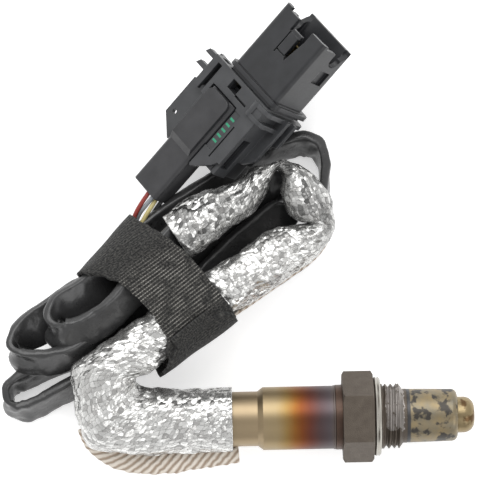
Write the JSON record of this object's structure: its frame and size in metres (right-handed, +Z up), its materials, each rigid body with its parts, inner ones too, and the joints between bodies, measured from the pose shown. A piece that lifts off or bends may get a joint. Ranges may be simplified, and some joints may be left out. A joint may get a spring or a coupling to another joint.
{
  "type": "oxygen sensor",
  "caption": "Wideband exhaust oxygen sensor with hexagon and thread, foil-sleeved lead bundled by a hook-and-loop strap, and a plug connector with mounting bracket.",
  "frame": {"origin": "on the sensor's axis, in the sealing ring's front face, which meets the exhaust boss", "axes": "+X along the sensor's axis towards its tip, +Z up from the surface the part lies on, one face of the hexagon flat on that surface"},
  "size_m": [0.1334, 0.1288, 0.0326],
  "materials": {
    "hex_steel": "sand-blasted, dulled",
    "ring_steel": "folded sheet",
    "tube_steel": "heat-tinted",
    "tip_steel": "heat-tinted",
    "collar_steel": "heat-tinted",
    "sleeve_steel": "polished, heat-tinted",
    "ceramic": "matt",
    "powder": "pressed powder",
    "spring_metal": "plated",
    "seal_rubber": "matt",
    "foil": "crinkled foil on glass cloth",
    "selvedge": "stitched glass cloth",
    "tubing": "satin",
    "hook_loop": "woven, matt",
    "plastic_black": "moulded",
    "plastic_cover": "moulded, smooth",
    "terminal_metal": "plated",
    "resistor": "lacquered",
    "wire_red": "satin",
    "wire_grey": "satin",
    "wire_yellow": "satin",
    "wire_black": "satin"
  },
  "bodies": {
    "root": {"hex_shell": "hex_steel", "gasket_ring": "ring_steel", "outer_protection_tube": "tube_steel", "inner_protection_tube": "tip_steel", "weld_collar": "collar_steel", "rear_sleeve": "sleeve_steel", "sensing_element": "ceramic", "front_bush": "ceramic", "powder_seal": "powder", "rear_bush": "ceramic", "press_ring": "ring_steel", "contact_holder": "ceramic", "contacts": "spring_metal", "seal_grommet": "seal_rubber", "heat_sleeve": "foil", "sleeve_seam": "selvedge", "lead_tube": "tubing", "strap": "hook_loop", "connector_shroud": "plastic_black", "connector_collar": "plastic_black", "connector_body": "plastic_black", "wire_cover": "plastic_cover", "mounting_bracket": "plastic_black", "terminal_pins": "terminal_metal", "terminal_lock": "plastic_black", "wire_seals": "seal_rubber", "trim_resistor": "resistor", "wire_red": "wire_red", "wire_grey": "wire_grey", "wire_yellow": "wire_yellow", "wire_black": "wire_black"}
  },
  "joints": []
}
